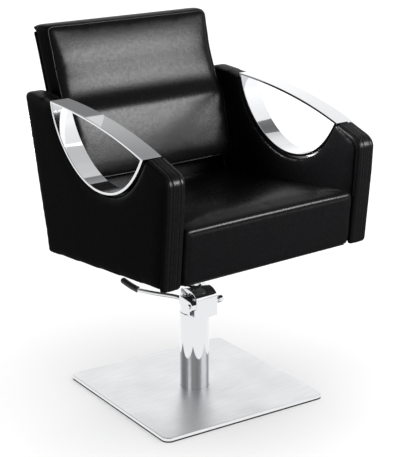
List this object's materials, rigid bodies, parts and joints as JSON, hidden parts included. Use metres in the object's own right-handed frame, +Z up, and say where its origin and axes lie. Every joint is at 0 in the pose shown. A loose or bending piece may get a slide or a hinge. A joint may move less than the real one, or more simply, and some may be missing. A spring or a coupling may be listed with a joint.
{
  "type": "styling chair",
  "caption": "Hydraulic hairdresser's styling chair with padded seat, back and tall sides, D-shaped chrome arm rings, foot lever and square steel base.",
  "frame": {"origin": "on the floor, on the axis of the column", "axes": "+Z up, -Y the way the chair faces, +X to the right seen from the front"},
  "size_m": [0.6454, 0.6489, 0.952],
  "materials": {
    "leather": "satin black upholstery leather, fine grain",
    "chrome": "polished chrome plate",
    "brushed_steel": "brushed stainless sheet",
    "painted_steel": "black powder coat",
    "zinc_steel": "zinc plated steel",
    "base_rubber": "matt black rubber",
    "grip_rubber": "satin black rubber sleeve",
    "plywood": "bare birch plywood",
    "dust_cloth": "black non-woven cloth"
  },
  "bodies": {
    "base": {"floor_pad": "base_rubber", "weight_plate": "painted_steel", "base_cover": "brushed_steel", "pump_cylinder": "zinc_steel", "column_tube": "chrome", "base_bolt_1": "zinc_steel", "base_bolt_2": "zinc_steel", "base_bolt_3": "zinc_steel", "base_bolt_4": "zinc_steel", "pump_head": "chrome", "ram_seal": "base_rubber"},
    "lever": {"lever_axle": "chrome", "lever_clevis": "chrome", "lever_rod": "chrome", "lever_grip": "grip_rubber", "clevis_screw": "zinc_steel"},
    "ram": {"ram": "chrome"},
    "seat": {"seat_hub": "painted_steel", "seat_plate": "painted_steel", "seat_board": "plywood", "dust_cover": "dust_cloth", "seat_cushion": "leather", "back_cushion": "leather", "back_board": "plywood", "back_shell": "leather", "plate_bolt_1": "zinc_steel", "plate_bolt_2": "zinc_steel", "plate_bolt_3": "zinc_steel", "plate_bolt_4": "zinc_steel", "arm_panel_left": "leather", "arm_facing_left": "leather", "arm_ring_left": "chrome", "back_bolt_left": "zinc_steel", "arm_bolt_left_1": "zinc_steel", "arm_bolt_left_2": "zinc_steel", "arm_panel_right": "leather", "arm_facing_right": "leather", "arm_ring_right": "chrome", "back_bolt_right": "zinc_steel", "arm_bolt_right_1": "zinc_steel", "arm_bolt_right_2": "zinc_steel"}
  },
  "joints": [
    {"name": "lever_pivot", "type": "hinge", "parent": "base", "child": "lever", "pos_m": [-0.0446, -0.043, 0.25], "axis": [-1, 0, 0], "range_deg": [0, 16], "stiffness_Nm_per_rad": 6, "springref_deg": -22.92},
    {"name": "ram_slide", "type": "slide", "parent": "base", "child": "ram", "axis": [0, 0, 1], "range_m": [-0.045, 0.08]},
    {"name": "seat_swivel", "type": "hinge", "parent": "ram", "child": "seat", "pos_m": [0, 0, 0.36], "axis": [0, 0, 1], "continuous": true}
  ]
}
